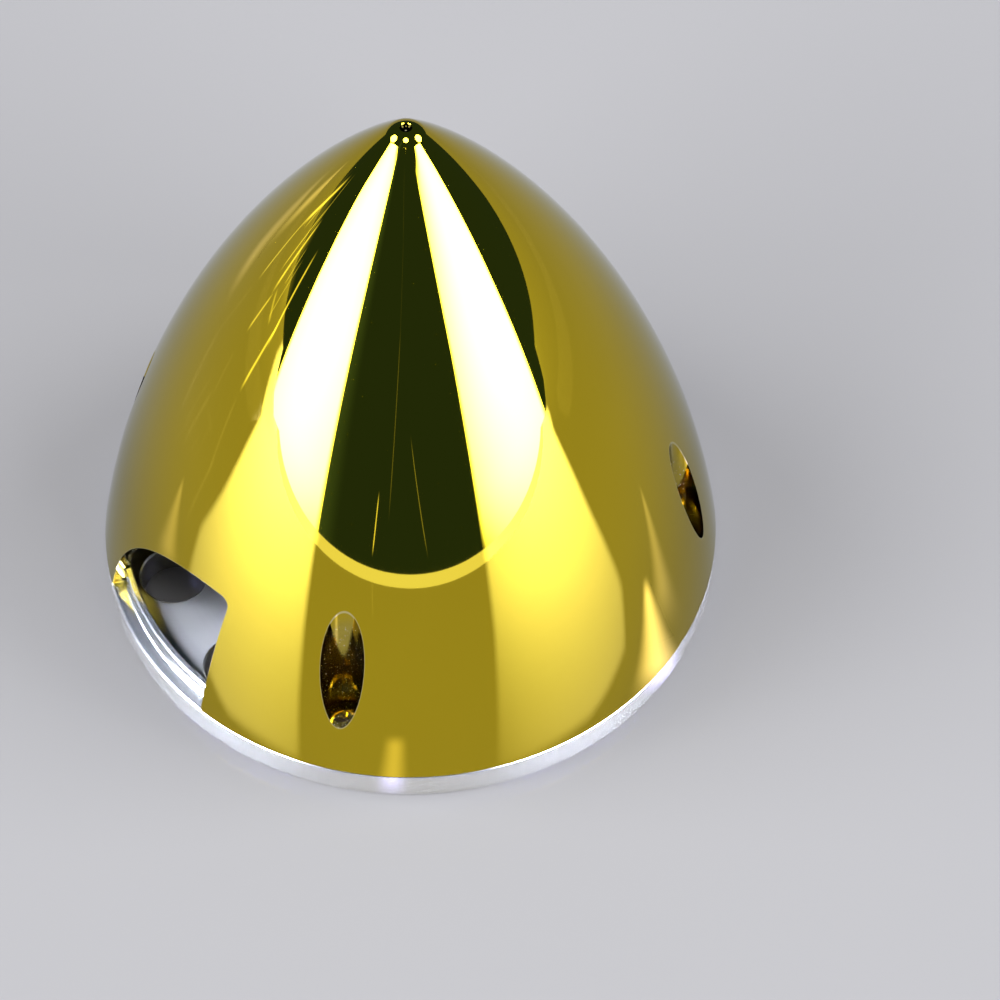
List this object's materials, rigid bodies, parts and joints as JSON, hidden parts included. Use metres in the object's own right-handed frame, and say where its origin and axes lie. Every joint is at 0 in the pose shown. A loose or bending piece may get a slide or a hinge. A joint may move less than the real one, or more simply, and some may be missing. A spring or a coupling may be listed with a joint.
{
  "type": "propeller spinner",
  "caption": "Pointed mirror-finished spinner cone with two blade openings, screwed to a turned backplate with a shaft bore.",
  "frame": {"origin": "centre of the backplate's rear face, on the shaft's axis", "axes": "+Z along the shaft towards the nose; the two blades leave along +X and -X"},
  "size_m": [0.0826, 0.0826, 0.0804],
  "materials": {
    "gold_plating": "vacuum-metallised gold, mirror gloss",
    "turned_aluminium": "fine turned, bright",
    "screw_steel": "bright zinc plate"
  },
  "bodies": {
    "root": {"cone": "gold_plating", "backplate": "turned_aluminium", "cone_screw_1": "screw_steel", "cone_screw_2": "screw_steel", "cone_screw_3": "screw_steel", "cone_screw_4": "screw_steel"}
  },
  "joints": []
}
